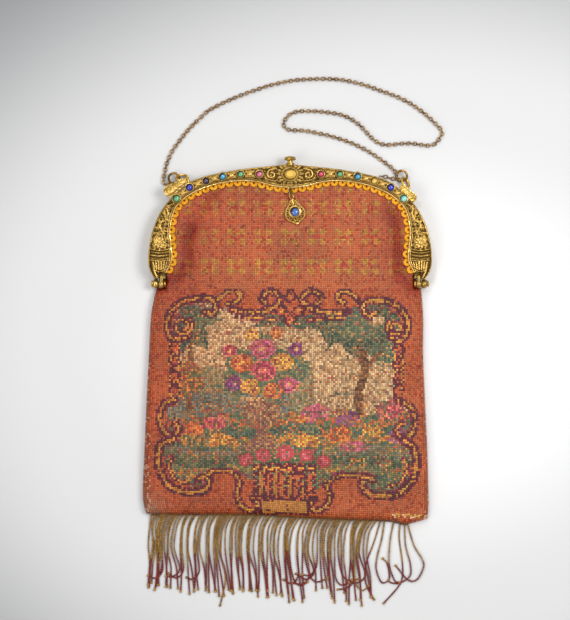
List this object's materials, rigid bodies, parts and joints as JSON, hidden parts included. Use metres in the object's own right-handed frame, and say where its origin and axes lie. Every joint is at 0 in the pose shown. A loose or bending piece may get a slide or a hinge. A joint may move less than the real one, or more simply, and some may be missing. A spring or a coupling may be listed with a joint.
{
  "type": "beaded flapper purse",
  "caption": "Flat beaded evening bag on a jewelled, scalloped clasp frame with a push button, carrying chain, hanging drop and bead fringe.",
  "frame": {"origin": "middle of the bag's back, on the surface that the closed purse lies on", "axes": "+Y from the hem up to the clasp button, +Z out of the front of the bag, +X to the right as the front is seen"},
  "size_m": [0.2031, 0.3585, 0.0158],
  "materials": {
    "beaded_cloth": "cloth wholly covered in terracotta, gold and maroon glass seed beads",
    "bead_fringe": "strung seed beads, bronze above and dark red below",
    "gilt_frame": "cast and gilt, worn, with dark recesses",
    "polished_brass": "turned and rubbed bright",
    "bronze_chain": "darkened wire links",
    "citrine_paste": "polished amber glass",
    "rose_paste": "polished rose glass",
    "ruby_paste": "polished ruby glass",
    "green_paste": "polished green glass",
    "teal_paste": "polished teal glass",
    "violet_paste": "polished dark violet glass",
    "blue_paste": "polished royal blue glass"
  },
  "bodies": {
    "purse": {"bag_body": "beaded_cloth", "fringe": "bead_fringe", "frame_front": "gilt_frame", "frame_back": "gilt_frame", "hinge_pin_left": "polished_brass", "hinge_pin_right": "polished_brass", "centre_stone": "citrine_paste", "stone_left_1": "rose_paste", "stone_left_2": "green_paste", "stone_left_3": "teal_paste", "stone_left_4": "violet_paste", "stone_left_5": "blue_paste", "stone_left_6": "green_paste", "stone_right_1": "ruby_paste", "stone_right_2": "green_paste", "stone_right_3": "teal_paste", "stone_right_4": "citrine_paste", "stone_right_5": "blue_paste", "stone_right_6": "teal_paste", "pendant": "gilt_frame", "pendant_stone": "blue_paste", "pendant_link_1": "gilt_frame", "pendant_link_2": "gilt_frame", "chain_ring_left": "gilt_frame", "chain_ring_right": "gilt_frame", "chain": "bronze_chain", "chain_tail": "bronze_chain"},
    "button": {"clasp_button": "polished_brass"}
  },
  "joints": [
    {"name": "button_press", "type": "slide", "parent": "purse", "child": "button", "axis": [0, -1, 0], "range_m": [0, 0.0015], "stiffness_N_per_m": 300, "springref_m": -0.002}
  ]
}
